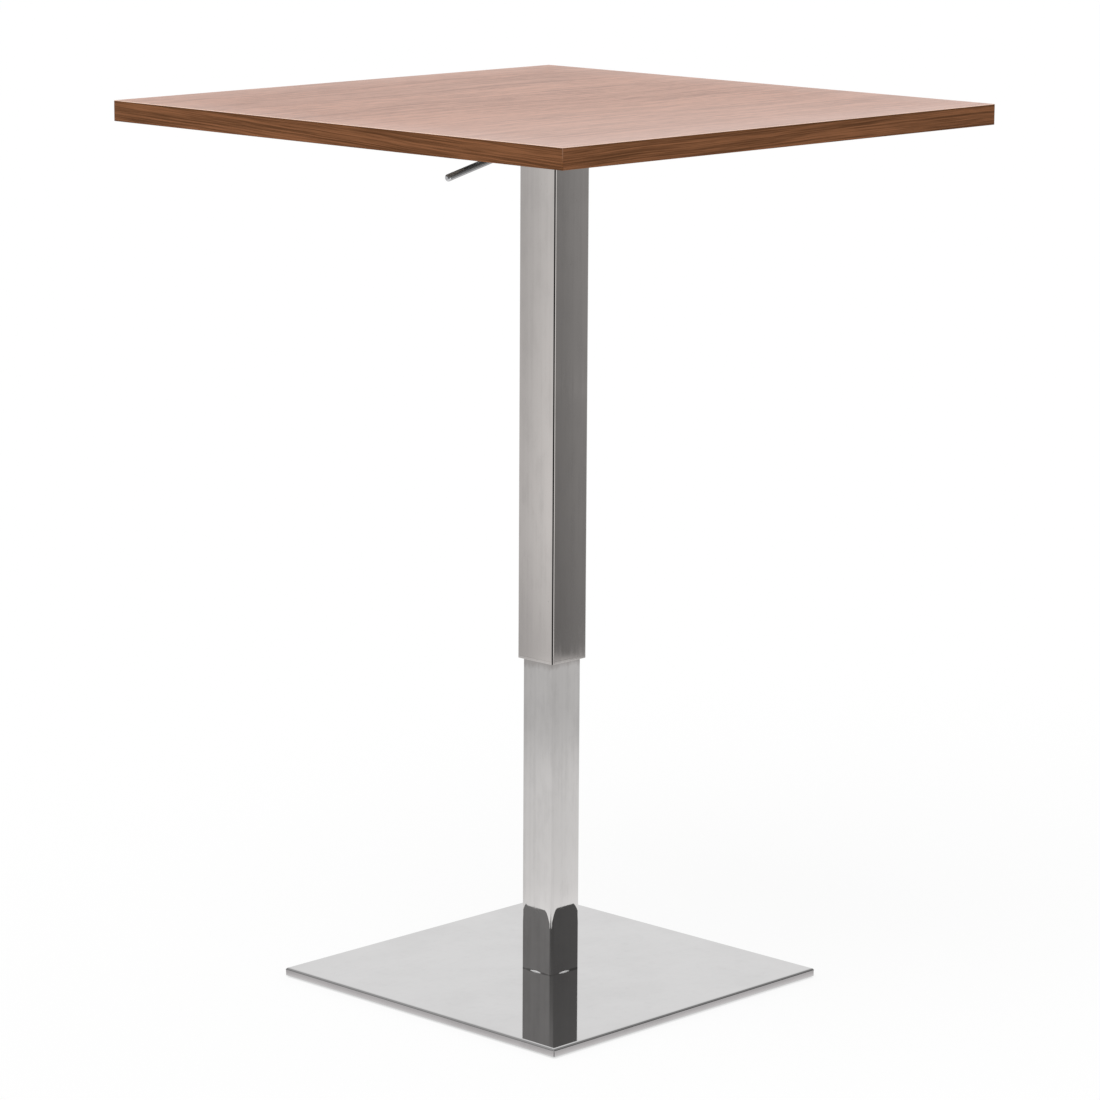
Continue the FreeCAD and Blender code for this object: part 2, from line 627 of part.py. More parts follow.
def make_parts():
    parts = {
        "foot_pads": foot_pads(),
        "ballast_plate": ballast_plate(),
        "base_cover": base_cover(),
        "base_screws": base_screws(),
        "foot_block": foot_block(),
        "inner_tube": inner_tube(),
        "upper_guide_cap": upper_guide_cap(),
        "spring_pedestal": spring_pedestal(),
        "spring_seat": spring_seat(),
        "gas_cylinder": gas_cylinder(),
        "cylinder_end_plug": cylinder_end_plug(),
        "rod_guide": rod_guide(),
        "rod_wiper": rod_wiper(),
        "table_top_core": table_top_core(),
        "top_laminate": top_laminate(),
        "underside_laminate": underside_laminate(),
        "mounting_plate": mounting_plate(),
        "board_screws": board_screws(),
        "plate_screws": plate_screws(),
        "head_block": head_block(),
        "sleeve_screws": sleeve_screws(),
        "pivot_pin": pivot_pin(),
        "outer_tube": outer_tube(),
        "lower_guide_collar": lower_guide_collar(),
        "piston_rod": piston_rod(),
        "piston": piston(),
        "piston_ring": piston_ring(),
        "rod_lock_nut": rod_lock_nut(),
        "bump_stop": bump_stop(),
        "release_pin": release_pin(),
        "release_lever": release_lever(),
        "rocker": rocker(),
    }
    for side, (side_x, side_y) in EDGE_SIDES.items():
        parts[f"edge_band_{side}"] = edge_band(side_x, side_y)
    return parts


def main():
    os.makedirs("parts", exist_ok=True)
    for name, shape in make_parts().items():
        if not shape.isValid():
            raise ValueError(f"{name} isn't a valid shape")
        shape.exportStep(f"parts/{name}.step")
        print(f"{name}: {len(shape.Solids)} solid(s), {shape.Volume / 1000:.2f} cm3")


main()
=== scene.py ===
import math

import bpy
from mathutils import Matrix, Vector


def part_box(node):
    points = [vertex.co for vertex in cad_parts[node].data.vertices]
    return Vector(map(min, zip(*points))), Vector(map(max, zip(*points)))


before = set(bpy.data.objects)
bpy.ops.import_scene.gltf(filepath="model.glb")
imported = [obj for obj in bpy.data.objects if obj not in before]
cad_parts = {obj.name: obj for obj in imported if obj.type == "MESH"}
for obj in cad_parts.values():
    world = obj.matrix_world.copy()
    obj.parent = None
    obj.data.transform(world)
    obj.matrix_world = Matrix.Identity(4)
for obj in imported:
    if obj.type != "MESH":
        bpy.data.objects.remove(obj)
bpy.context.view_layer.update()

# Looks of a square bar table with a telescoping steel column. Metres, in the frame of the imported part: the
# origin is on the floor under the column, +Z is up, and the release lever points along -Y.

X, Y, Z = 0, 1, 2

# Camera
CAMERA_PLACE = Vector((3.603, -3.7195, 1.5769))
CAMERA_AZIMUTH = math.radians(44.123)
CAMERA_TILT = math.radians(11.266)
CAMERA_ROLL = math.radians(0.325)
CAMERA_LENS = 140.69  # mm
SENSOR_WIDTH = 36.0  # mm

# Places on the object
TABLE_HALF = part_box("edge_band_front")[1].x
BAND_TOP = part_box("edge_band_front")[1].z
SLEEVE_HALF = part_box("outer_tube")[1].x
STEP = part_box("lower_guide_collar")[0].z
PLATE_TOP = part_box("base_cover")[1].z
PLATE_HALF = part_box("base_cover")[1].x
SKIRT_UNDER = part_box("base_cover")[0].z
POST_HALF = 0.025
POST_CORNER = 0.002
SLEEVE_CORNER = 0.0025
COVER_BEND = 0.0035

# Light
AMBIENT = 0.72
KEY_STRENGTH = 1.1
KEY_ELEVATION = math.radians(58)
KEY_AZIMUTH = CAMERA_AZIMUTH - math.radians(35)
KEY_ANGLE = math.radians(50)

# Floor
FLOOR_HALF = 42.0
FLOOR_DEPTH = 0.0002  # just under the foot pads
OPENING_HALF = PLATE_HALF - 0.02  # the opening in the floor, under the base
SHADOW_SHARE = 0.15  # how much of the floor's own shading the camera sees
GAP_SHARE = 0.28  # the same, in the gap under the base
GAP_EDGE = 0.001

# The lit floor round the table, as the steel mirrors it. A level gives a distance from the column's axis,
# and how bright the floor is there.
SHEET_RADIUS = 1.86
SHEET_EDGE = 0.04
SHEET_LEVELS = ((0.3, 1.0), (0.5, 0.885), (0.75, 0.84), (0.95, 0.835), (1.5, 0.655))

# The studio's walls, as the steel mirrors them. A level gives how far a direction points up, and how bright
# the wall is there.
LEFT_WALL = ((-0.225, 0.58), (-0.187, 0.737), (-0.115, 0.652), (-0.04, 0.652), (0.06, 0.325), (0.30, 0.325),
             (0.40, 0.48))
RIGHT_WALL = ((-0.225, 0.212), (-0.165, 0.262), (-0.1608, 0.262), (-0.1596, 0.299), (-0.152, 0.275),
              (-0.11, 0.30), (-0.04, 0.31), (0.06, 0.145), (0.28, 0.145), (0.40, 0.32))
NEAR_WALL = ((-0.04, 0.2), (0.06, 0.13), (0.28, 0.13), (0.36, 0.75))
STRIPE = 1.0  # a bright stripe low on the near wall's right part
BACKDROP = 1.0
CEILING = 0.8

# Where each part of the studio begins and where it is full, by how far a direction points right, ahead or
# up as the camera sees it
RIGHT_WALL_RIGHT = (-0.2, 0.2)
NEAR_WALL_AHEAD = (-0.04, -0.12)
NEAR_WALL_RIGHT = (-0.85, -0.75)
STRIPE_RIGHT = (0.50, 0.60)
STRIPE_UP = (0.06, -0.04)
BACKDROP_AHEAD = (0.35, 0.6)
CEILING_UP = (0.75, 0.9)


class Tree:
    """Fills a node tree. A node's input is a number, a colour, a vector or another node's output."""

    def __init__(self, owner):
        owner.use_nodes = True
        self.nodes = owner.node_tree.nodes
        self.links = owner.node_tree.links
        self.nodes.clear()

    def node(self, kind, inputs=(), output=0, **settings):
        made = self.nodes.new("ShaderNode" + kind)
        for name, value in settings.items():
            setattr(made, name, value)
        for socket, value in dict(inputs).items():
            if isinstance(value, bpy.types.NodeSocket):
                self.links.new(value, made.inputs[socket])
            else:
                made.inputs[socket].default_value = value
        return made.outputs[output]

    def math(self, operation, a, b=0.0):
        return self.node("Math", {0: a, 1: b}, operation=operation)

    def add(self, a, b):
        return self.math("ADD", a, b)

    def times(self, a, b):
        return self.math("MULTIPLY", a, b)

    def less(self, a, b):
        return self.math("SUBTRACT", a, b)

    def least(self, a, b):
        return self.math("MINIMUM", a, b)

    def most(self, a, b):
        return self.math("MAXIMUM", a, b)

    def blend(self, *layers):
        """The sum of layers, which are pairs of a value and its share."""
        (value, share), *rest = layers
        total = self.times(value, share)
        for value, share in rest:
            total = self.add(total, self.times(value, share))
        return total

    def ramp(self, value, start, end, low=0.0, high=1.0):
        """Goes smoothly from low, where value is start, to high, where it is end."""
        inputs = {"Value": value, "From Min": start, "From Max": end, "To Min": low, "To Max": high}
        return self.node("MapRange", inputs, interpolation_type="SMOOTHSTEP", clamp=True)

    def course(self, value, levels):
        """Goes smoothly through levels, which are pairs of a value and the level there."""
        level = levels[0][1]
        for (start, low), (end, high) in zip(levels, levels[1:]):
            if high != low:
                level = self.add(level, self.ramp(value, start, end, 0.0, high - low))
        return level

    def mix(self, share, a, b, kind="MIX"):
        """Colour a, going to colour b as share goes from 0 to 1."""
        return self.node("Mix", {0: share, 6: a, 7: b}, 2, data_type="RGBA", blend_type=kind)

    def grey(self, level):
        """Grey as bright as level, which is another node's output."""
        return self.vector(level, level, level)

    def place(self):
        """The point on the object, in metres in the object's own frame."""
        return self.node("TexCoord", output="Object")

    def axis(self, vector, index):
        return self.node("SeparateXYZ", {0: vector}, index)

    def reach(self, place):
        """How far the point is from the middle along X, and along Y."""
        return [self.math("ABSOLUTE", self.axis(place, index)) for index in (X, Y)]

    def vector(self, x, y, z):
        return self.node("CombineXYZ", {0: x, 1: y, 2: z})

    def scaled(self, vector, x, y, z):
        return self.node("VectorMath", {0: vector, 1: (x, y, z)}, operation="MULTIPLY")

    def length(self, vector):
        return self.node("VectorMath", {0: vector}, "Value", operation="LENGTH")

    def dot(self, vector, other):
        return self.node("VectorMath", {0: vector, 1: other}, "Value", operation="DOT_PRODUCT")

    def noise(self, vector, scale=1.0, detail=2.0, roughness=0.5):
        inputs = {"Vector": vector, "Scale": scale, "Detail": detail, "Roughness": roughness}
        return self.node("TexNoise", inputs, "Fac")

    def grain(self, spot, scales, seed, detail=2.0, roughness=0.5):
        """Noise at a spot, given by its two places on a face, each with its own scale."""
        first, second = (self.times(place, scale) for place, scale in zip(spot, scales))
        return self.noise(self.vector(first, second, seed), 1.0, detail, roughness)

    def rays(self, *kinds):
        """For each kind of ray, 1 where such a ray meets the surface, and otherwise 0."""
        return [self.node("LightPath", output=kind) for kind in kinds]

    def bump(self, height, strength=1.0):
        """height is in metres."""
        return self.node("Bump", {"Height": height, "Distance": 1.0, "Strength": strength})

    def surface(self, **inputs):
        """A Principled shader as the material's surface. Names are its sockets, with _ for a space."""
        sockets = {name.replace("_", " "): value for name, value in inputs.items()}
        self.output(self.node("BsdfPrincipled", sockets))

    def output(self, shader, kind="OutputMaterial"):
        self.links.new(shader, self.nodes.new("ShaderNode" + kind).inputs["Surface"])


def material(name):
    made = bpy.data.materials.new(name)
    return made, Tree(made)


def grey(level):
    return (level, level, level, 1.0)


def rgb(red, green, blue):
    return (red, green, blue, 1.0)


# Wood

LIGHT_WALNUT = rgb(0.505, 0.208, 0.112)
DARK_WALNUT = rgb(0.275, 0.098, 0.044)
# Painted highlight: the top is painted paler towards the right and towards its edges, as if it mirrored more
# of the bright studio there
HIGHLIGHT_WALNUT = rgb(0.62, 0.33, 0.24)
DARK_BAND = -0.225  # a darker band of grain, by its place along X
DARK_BAND_HALF = 0.055
HIGHLIGHT_RIGHT = (-0.02, 0.40)  # where the painted highlight on the top starts, and where it grows no further
HIGHLIGHT_SLANT = 0.15
HIGHLIGHT_RIM = 0.09

LIGHT_EDGE = rgb(0.249, 0.099, 0.040)
DARK_EDGE = rgb(0.095, 0.035, 0.010)
# Painted highlight on the bands' upright corners
CORNER_HIGHLIGHT = rgb(0.36, 0.20, 0.13)
# Painted highlight along the bands' top edge
TOP_EDGE_HIGHLIGHT = rgb(0.90, 0.66, 0.54)
# Depths on the edge bands, from the band's top down, or from its corner in
GLUE_LINE = (0.0032, 0.0012)
TOP_EDGE_HIGHLIGHT_DEPTH = (0.0006, 0.0004)
CORNER_HIGHLIGHT_DEPTH = (0.018, 0.004)
CORNER_HIGHLIGHT_WIDTH = (0.0011, 0.0005)


def walnut_top():
    """Satin laminate, grain along Y, glossier towards the right and its edges, with a painted highlight
    there.
    """
    made, t = material("walnut_top")
    place = t.place()
    along = t.axis(place, Y)
    across = t.axis(place, X)
    drift = t.grain((across, along), (4.0, 3.0), 0.0)
    side = t.add(across, t.times(t.less(drift, 0.5), 0.06))
    spot = (side, along)
    figure = t.grain(spot, (17.0, 1.8), 0.3, 3.0, 0.55)
    mottle = t.grain(spot, (85.0, 6.5), 0.5, 3.0, 0.65)
    lines = t.grain(spot, (240.0, 4.0), 0.7, 2.0, 0.6)
    flecks = t.grain(spot, (480.0, 22.0), 0.1, 2.0, 0.7)
    pores = t.grain(spot, (210.0, 60.0), 0.9, 2.0, 0.7)
    tone = t.blend((figure, 0.13), (mottle, 0.12), (lines, 0.30), (flecks, 0.33), (pores, 0.12))
    colour = t.mix(t.ramp(tone, 0.422, 0.567), DARK_WALNUT, LIGHT_WALNUT)
    band = t.ramp(t.math("ABSOLUTE", t.less(side, DARK_BAND)), DARK_BAND_HALF, 0.0)
    colour = t.mix(t.times(band, t.ramp(figure, 0.75, 0.35, 0.1, 0.4)), colour, DARK_WALNUT)
    # Painted highlight: paler towards the right and towards the edges
    right_highlight = t.ramp(t.less(across, t.times(along, HIGHLIGHT_SLANT)), *HIGHLIGHT_RIGHT, 0.0, 0.27)
    rim_highlight = t.ramp(t.most(*t.reach(place)), TABLE_HALF - HIGHLIGHT_RIM, TABLE_HALF, 0.0, 0.14)
    highlight_share = t.add(right_highlight, rim_highlight)
    colour = t.mix(highlight_share, colour, HIGHLIGHT_WALNUT)
    gloss = t.less(t.ramp(tone, 0.35, 0.65, 0.40, 0.34), t.times(highlight_share, 0.18))
    relief = t.times(t.add(flecks, lines), 0.00001)
    t.surface(Base_Color=colour, Roughness=gloss, Normal=t.bump(relief, 0.5))
    return made


def walnut_edge(name, along, slant, seed):
    """Edge band with its grain along one axis. The grain lines rise by slant, and seed is their place."""
    made, t = material(name)
    place = t.place()
    run = t.axis(place, along)
    height = t.axis(place, Z)
    drift = t.grain((run, height), (5.0, 30.0), seed)
    side = t.add(t.less(height, t.times(run, slant)), t.times(t.less(drift, 0.5), 0.006))
    spot = (run, side)
    figure = t.grain(spot, (4.0, 75.0), seed, 2.0, 0.5)
    lines = t.grain(spot, (4.5, 520.0), seed, 2.0, 0.6)
    fibre = t.grain(spot, (20.0, 1200.0), seed, 2.0, 0.6)
    tone = t.blend((figure, 0.10), (lines, 0.56), (fibre, 0.34))
    colour = t.mix(t.ramp(tone, 0.38, 0.62), DARK_EDGE, LIGHT_EDGE)
    depth = t.less(BAND_TOP, height)
    colour = t.mix(t.ramp(depth, *GLUE_LINE, 0.0, 0.6), colour, DARK_EDGE)
    # Painted highlight: the upright corners are painted lighter near the top, as if they caught the light
    corner = t.ramp(t.less(TABLE_HALF, t.least(*t.reach(place))), *CORNER_HIGHLIGHT_WIDTH)
    wear_and_highlight = t.times(corner, t.ramp(depth, *CORNER_HIGHLIGHT_DEPTH, 0.0, 0.5))
    colour = t.mix(wear_and_highlight, colour, CORNER_HIGHLIGHT)
    # Painted highlight: a pale line along the band's top edge
    colour = t.mix(t.ramp(depth, *TOP_EDGE_HIGHLIGHT_DEPTH), colour, TOP_EDGE_HIGHLIGHT)
    relief = t.times(fibre, 0.00002)
    gloss = t.ramp(tone, 0.35, 0.65, 0.48, 0.40)
    t.surface(Base_Color=colour, Roughness=gloss, Specular_IOR_Level=0.1, Normal=t.bump(relief, 0.6))
    return made


def balancing_laminate():
    """The underside's balancing laminate, matt grey-brown with a faint grain along Y."""
    made, t = material("balancing_laminate")
    place = t.place()
    grain = t.noise(t.scaled(place, 90.0, 7.0, 1.0), 1.0, 3.0, 0.6)
    flecks = t.noise(t.scaled(place, 900.0, 400.0, 1.0))
    tone = t.blend((grain, 0.6), (flecks, 0.4))
    colour = t.mix(t.ramp(tone, 0.36, 0.64), rgb(0.118, 0.101, 0.086), rgb(0.142, 0.124, 0.107))
    relief = t.times(flecks, 0.00002)
    t.surface(Base_Color=colour, Roughness=0.6, Specular_IOR_Level=0.3, Normal=t.bump(relief, 0.5))
    return made


def board_core():
    """The bare edge of a pressed fibre board."""
    made, t = material("fibre_board")
    place = t.place()
    flakes = t.noise(place, 900.0, 3.0, 0.7)
    cloud = t.noise(place, 40.0)
    tone = t.blend((flakes, 0.7), (cloud, 0.3))
    colour = t.mix(t.ramp(tone, 0.3, 0.7), rgb(0.42, 0.31, 0.2), rgb(0.68, 0.56, 0.4))
    t.surface(Base_Color=colour, Roughness=0.85, Normal=t.bump(t.times(flakes, 0.0001)))
    return made


# Metal

SLEEVE_STEEL = rgb(0.655, 0.618, 0.597)
POST_STEEL = rgb(0.655, 0.637, 0.628)
SILVER = rgb(0.70, 0.665, 0.645)
DULLED = 0.78  # how bright dulled steel is, beside polished steel
DARK_SPECK = rgb(0.22, 0.20, 0.19)

# The painted dark reflection line on a tube's upright corners, in radii of the corner: how far beside the
# corner it reaches, and the sharper stop that it has towards the faces that look along X
LINE_REACH = (0.65, 0.5)
LINE_STOP = (0.62, 0.42)

# How wear has rounded the post's faces beside its corners, most at the corner between front and right.
CROWN_WIDTH = 0.013
CROWN_POWER = 4.0
OTHER_CROWNS = 0.4  # how much the other corners are worn, beside that one
CROWN_SPREAD = 1.6  # how far from the next corners, in halves of the post's width, its share is full

# The post's two ends
BEAD_STANDS_OUT = (0.0001, 0.0003)
# The weld beads: a duller satin finish, painted light grey as a painted highlight where they catch the light
BEAD_HIGHLIGHT = grey(0.76)
JOINT_HEIGHT = (0.0016, 0.0004)
JOINT = rgb(0.09, 0.085, 0.08)
# Painted shade on the post just under the sleeve's collar
COLLAR_SHADE_DEPTH = (0.012, 0.003)
COLLAR_SHADE = rgb(0.36, 0.33, 0.315)

# The base's cover
BRIGHT_SHEET = rgb(0.600, 0.594, 0.594)
DULL_SHEET = rgb(0.534, 0.528, 0.528)
SKIRT_START = (0.5 * COVER_BEND, 0.9 * COVER_BEND)
# The skirts' painted reflection: how bright it is, and its tint
SKIRT_REFLECTION_LEVELS = (0.365, 0.50)  # at its top and at its foot
SKIRT_REFLECTION_TINT = (1.02, 0.98, 0.985)
# Painted highlight along the skirts' foot
FOOT_RIM_HIGHLIGHT = grey(0.57)
FOOT_RIM_HIGHLIGHT_HEIGHT = (0.0014, 0.0010)


def painted_corner_reflection(t, place, half, corner, line):
    """How bright a tube is painted: a painted dark reflection on its upright corners, of the radius corner.
    """
    reach_x, reach_y = t.reach(place)
    beside = t.less(half, t.least(reach_x, reach_y))
    near_corner = t.ramp(beside, *(radii * corner for radii in LINE_REACH))
    before_stop = t.ramp(t.less(reach_x, reach_y), *(radii * corner for radii in LINE_STOP))
    return t.ramp(t.times(near_corner, before_stop), 0.0, 1.0, 1.0, line)


def crown_fall(t, place, half, crown):
    """How far a tube's faces, rounded by wear, fall back beside its corners, where they end at the slope
    crown.
    """
    beside = t.less(half, t.least(*t.reach(place)))
    wear_and_highlight = t.times(t.most(t.less(CROWN_WIDTH, beside), 0.0), 1.0 / CROWN_WIDTH)
    fall = t.times(t.math("POWER", wear_and_highlight, CROWN_POWER), -crown * CROWN_WIDTH / CROWN_POWER)
    front_right = t.less(t.axis(place, X), t.axis(place, Y))
    return t.times(fall, t.ramp(front_right, 0.0, CROWN_SPREAD * half, OTHER_CROWNS, 1.0))


def polished_tube(name, steel, half, corner, painted_sheen, dullness, line=1.0, crown=0.0, bottom=None):
    """Polished tube, clouded by dullness, with a painted highlight as strong as sheen towards one corner of
    each face.

    line and crown are as in painted_corner_reflection and crown_fall. bottom adds what is special at the
    tube's ends.
    """
    made, t = material(name)
    place = t.place()
    streaks = t.noise(t.scaled(place, 170.0, 170.0, 3.0))
    clouds = t.noise(t.scaled(place, 60.0, 60.0, 22.0), 1.0, 4.0, 0.6)
    specks = t.noise(t.scaled(place, 1.0, 1.0, 0.6), 330.0, 2.0, 0.7)
    dull = t.blend((t.ramp(streaks, 0.35, 0.70), 0.4), (t.ramp(clouds, 0.35, 0.75), 0.6))
    across = t.add(t.axis(place, X), t.axis(place, Y))
    along_face = t.math("FRACT", t.add(t.times(across, 0.5 / half), 1.0))
    # Painted highlight: each face is painted a little brighter towards one corner
    level = t.ramp(along_face, 0.0, 1.0, 1.0 - painted_sheen, 1.0 + painted_sheen)
    level = t.times(level, t.ramp(dull, 0.0, 1.0, 1.0, 1.0 - dullness * (1.0 - DULLED)))
    colour = t.mix(1.0, steel, t.grey(level), "MULTIPLY")
    colour = t.mix(t.times(t.ramp(specks, 0.72, 0.80), 0.4), colour, DARK_SPECK)
    # Painted reflection: a dark line on the upright corners, where polished steel would mirror the dark
    # studio
    if line < 1.0:
        colour = t.mix(1.0, colour, t.grey(painted_corner_reflection(t, place, half, corner, line)), "MULTIPLY")
    finish = {"Base_Color": colour, "Metallic": 1.0, "Roughness": t.ramp(dull, 0.0, 1.0, 0.035, 0.10)}
    if bottom is not None:
        finish = bottom(t, place, clouds, finish)
    relief = t.times(t.noise(t.scaled(place, 22.0, 22.0, 6.0), 1.0, 1.0), 0.000025)
    if crown > 0.0:
        relief = t.add(relief, crown_fall(t, place, half, crown))
    t.surface(Normal=t.bump(relief), **finish)
    return made


def post_ends(t, place, clouds, finish):
    """The post's welded foot, with a painted highlight on its weld beads, and painted shade just under the
    sleeve's collar.
    """
    height = t.axis(place, Z)
    bead = t.ramp(t.less(t.most(*t.reach(place)), POST_HALF), *BEAD_STANDS_OUT)
    uneven = t.less(clouds, 0.5)
    # Painted shade: the post is painted darker just under the collar's step
    under_collar = t.less(STEP, t.add(height, t.times(uneven, 0.022)))
    colour = t.mix(t.ramp(under_collar, *COLLAR_SHADE_DEPTH, 0.0, 0.5), finish["Base_Color"], COLLAR_SHADE)
    above_plate = t.less(t.add(height, t.times(uneven, 0.006)), PLATE_TOP)
    colour = t.mix(t.ramp(above_plate, *JOINT_HEIGHT, 0.0, 0.5), colour, JOINT)
    # Weld beads: satin finish, with their light grey colour a painted highlight
    colour = t.mix(bead, colour, BEAD_HIGHLIGHT)
    metallic = t.less(1.0, t.times(bead, 0.75))
    roughness = t.mix(bead, t.times(finish["Roughness"], 0.55), grey(0.42))
    return {"Base_Color": colour, "Metallic": metallic, "Roughness": roughness}


def polished_sheet():
    """Base cover: polished top; rougher skirts whose painted reflection brightens to a painted highlight at
    the rim.
    """
    made, t = material("polished_sheet")
    place = t.place()
    height = t.axis(place, Z)
    clouds = t.noise(t.scaled(place, 11.0, 11.0, 11.0), 1.0, 4.0, 0.6)
    hairs = t.noise(t.scaled(place, 700.0, 14.0, 700.0), 1.0, 2.0, 0.6)
    smudge = t.noise(t.scaled(place, 70.0, 70.0, 70.0), 1.0, 3.0, 0.65)
    dull = t.blend(
        (t.ramp(clouds, 0.35, 0.75), 0.5),
        (t.ramp(hairs, 0.4, 0.8), 0.2),
        (t.ramp(smudge, 0.45, 0.8), 0.3),
    )
    colour = t.mix(dull, BRIGHT_SHEET, DULL_SHEET)
    skirt = t.ramp(t.less(PLATE_TOP, height), *SKIRT_START)
    # Painted reflection: the skirts are painted darker, growing brighter towards their foot
    lit = t.ramp(height, PLATE_TOP - COVER_BEND, SKIRT_UNDER, *SKIRT_REFLECTION_LEVELS)
    lit = t.times(lit, t.ramp(dull, 0.0, 1.0, 1.06, 0.92))
    colour = t.mix(skirt, colour, t.vector(*(t.times(lit, tint) for tint in SKIRT_REFLECTION_TINT)))
    # Painted highlight: a pale line along the skirts' foot
    rim_highlight = t.ramp(t.less(height, SKIRT_UNDER), *FOOT_RIM_HIGHLIGHT_HEIGHT)
    colour = t.mix(rim_highlight, colour, FOOT_RIM_HIGHLIGHT)
    roughness = t.add(t.ramp(dull, 0.0, 1.0, 0.025, 0.06), t.times(skirt, 0.12))
    t.surface(Base_Color=colour, Metallic=1.0, Roughness=roughness)
    return made


def metal(name, light, dark, roughness, scale, grain=(1.0, 1.0, 1.0), depth=0.00001):
    """Bare or plated metal with a clouded colour and a fine surface grain, depth deep."""
    made, t = material(name)
    place = t.place()
    cloud = t.noise(t.scaled(place, *grain), scale, 3.0, 0.65)
    fine = t.noise(t.scaled(place, *grain), scale * 9, 2.0, 0.6)
    tone = t.blend((cloud, 0.6), (fine, 0.4))
    colour = t.mix(t.ramp(tone, 0.35, 0.65), dark, light)
    dull = t.ramp(tone, 0.3, 0.7, roughness * 1.25, roughness * 0.8)
    t.surface(Base_Color=colour, Metallic=1.0, Roughness=dull, Normal=t.bump(t.times(fine, depth)))
    return made


def coating(name, light, dark, roughness, scale, depth):
    """Plastic, rubber or powder coat, with a moulded or orange-peel texture, depth deep."""
    made, t = material(name)
    place = t.place()
    fine = t.noise(place, scale, 2.0, 0.6)
    cloud = t.noise(place, 60.0)
    tone = t.blend((fine, 0.5), (cloud, 0.5))
    colour = t.mix(t.ramp(tone, 0.35, 0.65), dark, light)
    dull = t.ramp(cloud, 0.3, 0.7, roughness * 0.85, roughness * 1.15)
    t.surface(Base_Color=colour, Roughness=dull, Normal=t.bump(t.times(fine, depth)))
    return made


def make_materials():
    """The material of each node."""
    plated = metal("zinc_plate", rgb(0.62, 0.62, 0.6), rgb(0.45, 0.45, 0.42), 0.28, 160.0)
    raw = metal("mill_steel", rgb(0.36, 0.35, 0.34), rgb(0.2, 0.19, 0.18), 0.45, 90.0, depth=0.00003)
    chrome = metal("chrome_plate", rgb(0.72, 0.72, 0.73), rgb(0.66, 0.66, 0.67), 0.05, 120.0, depth=0.0)
    powder = coating("powder_coat", grey(0.035), grey(0.022), 0.42, 1400.0, 0.00002)
    rubber = coating("moulded_rubber", grey(0.035), grey(0.02), 0.75, 900.0, 0.00004)
    nylon = coating("black_nylon", grey(0.05), grey(0.03), 0.5, 700.0, 0.00001)
    post = ("polished_post", POST_STEEL, POST_HALF, POST_CORNER)
    post = polished_tube(*post, painted_sheen=0.03, dullness=0.5, crown=0.26, bottom=post_ends)
    sleeve = ("polished_sleeve", SLEEVE_STEEL, SLEEVE_HALF, SLEEVE_CORNER)
    sleeve = polished_tube(*sleeve, painted_sheen=0.13, dullness=0.35, line=0.12)
    collar = ("silver_moulding", SILVER, SLEEVE_HALF, SLEEVE_CORNER)
    collar = polished_tube(*collar, painted_sheen=0.08, dullness=0.3, line=0.12)
    return {
        "top_laminate": walnut_top(),
        "underside_laminate": balancing_laminate(),
        "edge_band_front": walnut_edge("walnut_front", X, -0.04, 0.0),
        "edge_band_rear": walnut_edge("walnut_rear", X, 0.02, 4.0),
        "edge_band_left": walnut_edge("walnut_left", Y, -0.03, 8.0),
        "edge_band_right": walnut_edge("walnut_right", Y, 0.012, 12.0),
        "table_top_core": board_core(),
        "base_cover": polished_sheet(),
        "inner_tube": post,
        "outer_tube": sleeve,
        "release_lever": chrome,
        "piston_rod": chrome,
        "foot_pads": rubber,
        "rod_wiper": rubber,
        "bump_stop": rubber,
        "upper_guide_cap": nylon,
        "rod_guide": nylon,
        "piston_ring": nylon,
        "mounting_plate": powder,
        "gas_cylinder": powder,
        "ballast_plate": powder,
        "lower_guide_collar": collar,
        "piston": metal("turned_aluminium", grey(0.72), grey(0.6), 0.3, 200.0, (1.0, 1.0, 12.0)),
        "foot_block": raw,
        "spring_pedestal": raw,
        "spring_seat": raw,
        "head_block": raw,
        "base_screws": plated,
        "cylinder_end_plug": plated,
        "board_screws": plated,
        "plate_screws": plated,
        "sleeve_screws": plated,
        "pivot_pin": plated,
        "rod_lock_nut": plated,
        "release_pin": plated,
        "rocker": plated,
    }


def dress():
    """Gives every CAD piece its finish."""
    for node, finish in make_materials().items():
        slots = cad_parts[node].data.materials
        slots.clear()
        slots.append(finish)


# Studio


def pale_floor():
    """White, with a faint shadow. Past the lit sheet round the table, the steel mirrors the dim studio."""
    made, t = material("pale_floor")
    camera_ray, glossy_ray = t.rays("Is Camera Ray", "Is Glossy Ray")
    place = t.place()
    away = t.length(t.scaled(place, 1.0, 1.0, 0.0))
    colour = t.mix(glossy_ray, grey(1.0), t.grey(t.course(away, SHEET_LEVELS)))
    beyond_base = t.less(t.most(*t.reach(place)), PLATE_HALF)
    shading = t.ramp(beyond_base, -GAP_EDGE, GAP_EDGE, GAP_SHARE, SHADOW_SHARE)
    own_light = t.times(camera_ray, t.less(1.0, shading))
    shown = t.node("MixShader", {
        0: t.most(own_light, glossy_ray),
        1: t.node("BsdfDiffuse", {"Color": colour}),
        2: t.node("Emission", {"Color": colour, "Strength": 1.0}),
    })
    past = t.times(t.ramp(away, SHEET_RADIUS - SHEET_EDGE, SHEET_RADIUS + SHEET_EDGE), glossy_ray)
    seen_from_below = t.node("NewGeometry", output="Backfacing")
    clear = t.most(past, seen_from_below)
    t.output(t.node("MixShader", {0: clear, 1: shown, 2: t.node("BsdfTransparent")}))
    return made


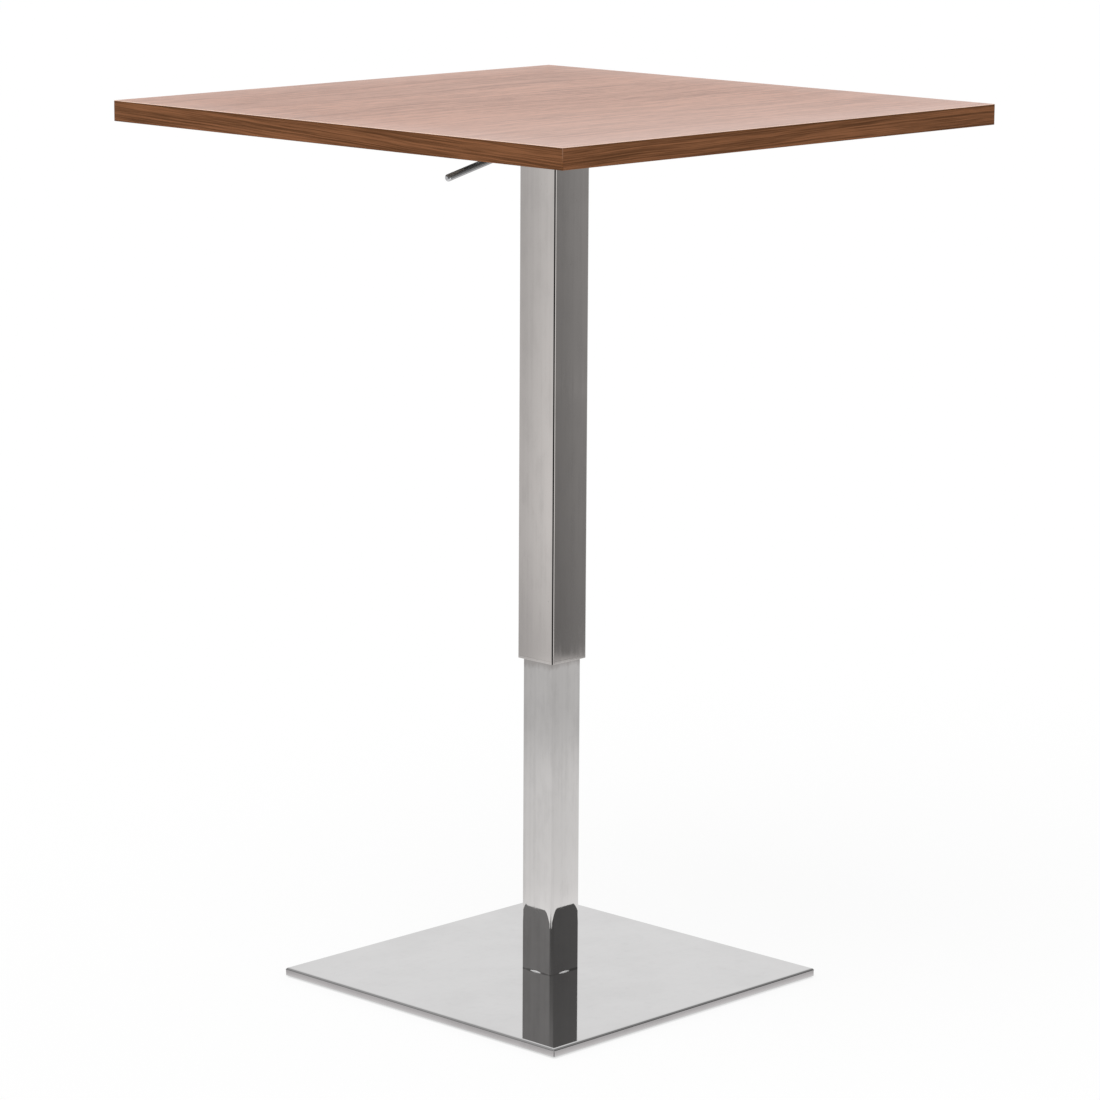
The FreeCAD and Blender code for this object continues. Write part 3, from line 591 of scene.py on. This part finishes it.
def floor():
    """A square floor, open under the base, so that light reaches the base's underside."""
    mesh = bpy.data.meshes.new("floor")
    signs = ((1, 1), (-1, 1), (-1, -1), (1, -1))
    corners = [(half * x, half * y, -FLOOR_DEPTH) for half in (FLOOR_HALF, OPENING_HALF) for x, y in signs]
    sides = [(i, (i + 1) % 4, 4 + (i + 1) % 4, 4 + i) for i in range(4)]
    mesh.from_pydata(corners, [], sides)
    mesh.materials.append(pale_floor())
    made = bpy.data.objects.new("floor", mesh)
    bpy.context.scene.collection.objects.link(made)


def studio():
    """White behind the table and grey around it, as the steel mirrors them."""
    world = bpy.data.worlds.new("studio")
    bpy.context.scene.world = world
    t = Tree(world)
    way = t.node("TexCoord", output="Generated")
    up = t.axis(way, Z)
    right = t.dot(way, (math.cos(CAMERA_AZIMUTH), math.sin(CAMERA_AZIMUTH), 0))
    ahead = t.dot(way, (-math.sin(CAMERA_AZIMUTH), math.cos(CAMERA_AZIMUTH), 0))
    left_wall, right_wall, near_wall = (t.course(up, wall) for wall in (LEFT_WALL, RIGHT_WALL, NEAR_WALL))
    stripe = t.times(t.ramp(up, *STRIPE_UP), t.ramp(right, *STRIPE_RIGHT))
    near_wall = t.mix(stripe, near_wall, grey(STRIPE))
    near = t.times(t.ramp(ahead, *NEAR_WALL_AHEAD), t.ramp(right, *NEAR_WALL_RIGHT))
    walls = t.mix(t.ramp(right, *RIGHT_WALL_RIGHT), left_wall, right_wall)
    walls = t.mix(near, walls, near_wall)
    walls = t.mix(t.ramp(ahead, *BACKDROP_AHEAD), walls, grey(BACKDROP))
    walls = t.mix(t.ramp(up, *CEILING_UP), walls, grey(CEILING))
    camera_ray, glossy_ray, glass_ray = t.rays("Is Camera Ray", "Is Glossy Ray", "Is Transmission Ray")
    seen = t.mix(t.most(glossy_ray, glass_ray), grey(AMBIENT), walls)
    seen = t.mix(camera_ray, seen, grey(BACKDROP))
    t.output(t.node("Background", {"Color": seen, "Strength": 1.0}), "OutputWorld")


def key_light():
    """A broad soft sun from the left, which the steel doesn't mirror."""
    lamp = bpy.data.lights.new("key", "SUN")
    lamp.energy = KEY_STRENGTH
    lamp.angle = KEY_ANGLE
    made = bpy.data.objects.new("key", lamp)
    made.visible_glossy = False
    turn = Matrix.Rotation(KEY_AZIMUTH, 4, "Z") @ Matrix.Rotation(math.pi / 2 - KEY_ELEVATION, 4, "X")
    made.matrix_world = turn
    bpy.context.scene.collection.objects.link(made)


def camera():
    """The camera that fits the photo."""
    made = bpy.data.objects.new("camera", bpy.data.cameras.new("camera"))
    made.data.sensor_width = SENSOR_WIDTH
    made.data.lens = CAMERA_LENS
    made.data.clip_end = 4 * FLOOR_HALF
    aim = Matrix.Rotation(CAMERA_AZIMUTH, 4, "Z")
    aim = aim @ Matrix.Rotation(math.pi / 2 - CAMERA_TILT, 4, "X")
    aim = aim @ Matrix.Rotation(CAMERA_ROLL, 4, "Z")
    made.matrix_world = Matrix.Translation(CAMERA_PLACE) @ aim
    bpy.context.scene.collection.objects.link(made)
    bpy.context.scene.camera = made


dress()
floor()
studio()
key_light()
camera()
bpy.context.scene.view_settings.view_transform = "Standard"
